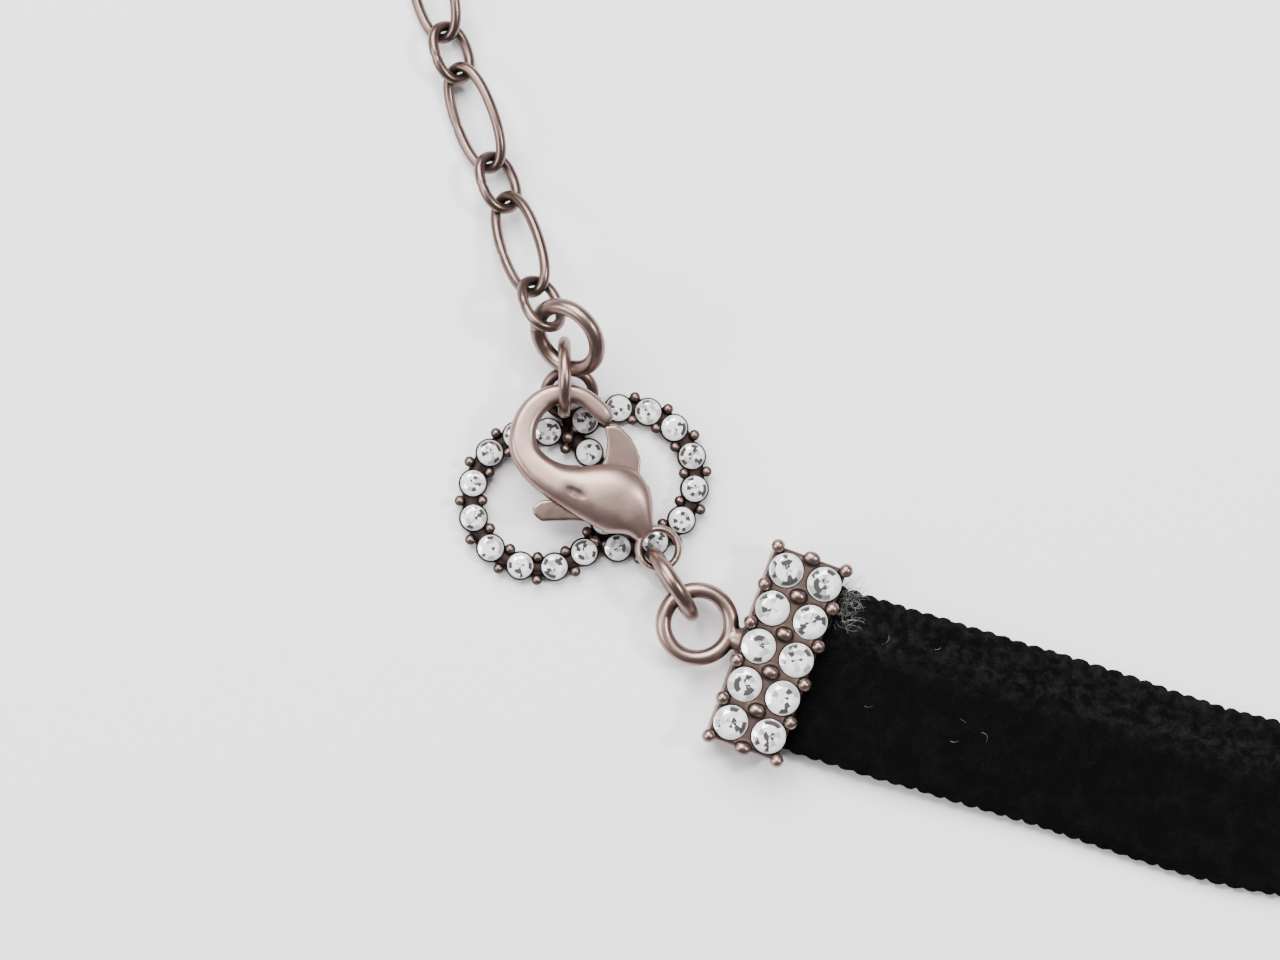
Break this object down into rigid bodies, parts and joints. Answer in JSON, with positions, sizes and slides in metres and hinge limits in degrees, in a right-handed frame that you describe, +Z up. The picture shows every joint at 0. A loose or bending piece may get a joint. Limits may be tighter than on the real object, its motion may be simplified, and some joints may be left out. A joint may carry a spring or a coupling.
{
  "type": "choker necklace",
  "caption": "Closed choker of black velvet ribbon with stone-set end caps, a lobster clasp, an extender chain and a double-ring charm, lying on a surface.",
  "frame": {"origin": "bottom centre of the bounding box of the closed necklace as it lies", "axes": "+Z up from the surface, +X and +Y as right and up in the picture, so the clasp is at low X and low Y and the ribbon runs round to high X"},
  "size_m": [0.1272, 0.135, 0.0101],
  "materials": {
    "velvet": "black rayon velvet with woven edges",
    "antique_silver": "antiqued silver plate, satin, dark in the recesses",
    "crystal": "cut foiled crystal, polished"
  },
  "bodies": {
    "choker": {"velvet_ribbon": "velvet", "end_cap_clasp": "antique_silver", "end_cap_chain": "antique_silver", "cap_jump_ring": "antique_silver", "clasp_body": "antique_silver", "hook_ring": "antique_silver", "chain_end_ring": "antique_silver", "chain_jump_ring": "antique_silver", "charm": "antique_silver", "chain_link_01": "antique_silver", "chain_link_02": "antique_silver", "chain_link_03": "antique_silver", "chain_link_04": "antique_silver", "chain_link_05": "antique_silver", "chain_link_06": "antique_silver", "chain_link_07": "antique_silver", "chain_link_08": "antique_silver", "chain_link_09": "antique_silver", "chain_link_10": "antique_silver", "chain_link_11": "antique_silver", "chain_link_12": "antique_silver", "chain_link_13": "antique_silver", "chain_link_14": "antique_silver", "chain_link_15": "antique_silver", "chain_link_16": "antique_silver", "chain_link_17": "antique_silver", "clasp_cap_stone_01": "crystal", "clasp_cap_stone_02": "crystal", "clasp_cap_stone_03": "crystal", "clasp_cap_stone_04": "crystal", "clasp_cap_stone_05": "crystal", "clasp_cap_stone_06": "crystal", "clasp_cap_stone_07": "crystal", "clasp_cap_stone_08": "crystal", "clasp_cap_stone_09": "crystal", "clasp_cap_stone_10": "crystal", "chain_cap_stone_01": "crystal", "chain_cap_stone_02": "crystal", "chain_cap_stone_03": "crystal", "chain_cap_stone_04": "crystal", "chain_cap_stone_05": "crystal", "chain_cap_stone_06": "crystal", "chain_cap_stone_07": "crystal", "chain_cap_stone_08": "crystal", "chain_cap_stone_09": "crystal", "chain_cap_stone_10": "crystal"},
    "lever": {"clasp_lever": "antique_silver"}
  },
  "joints": [
    {"name": "clasp_lever_hinge", "type": "hinge", "parent": "choker", "child": "lever", "pos_m": [-0.04995, -0.04355, 0.00295], "axis": [0, 0, 1], "range_deg": [0, 20]}
  ]
}
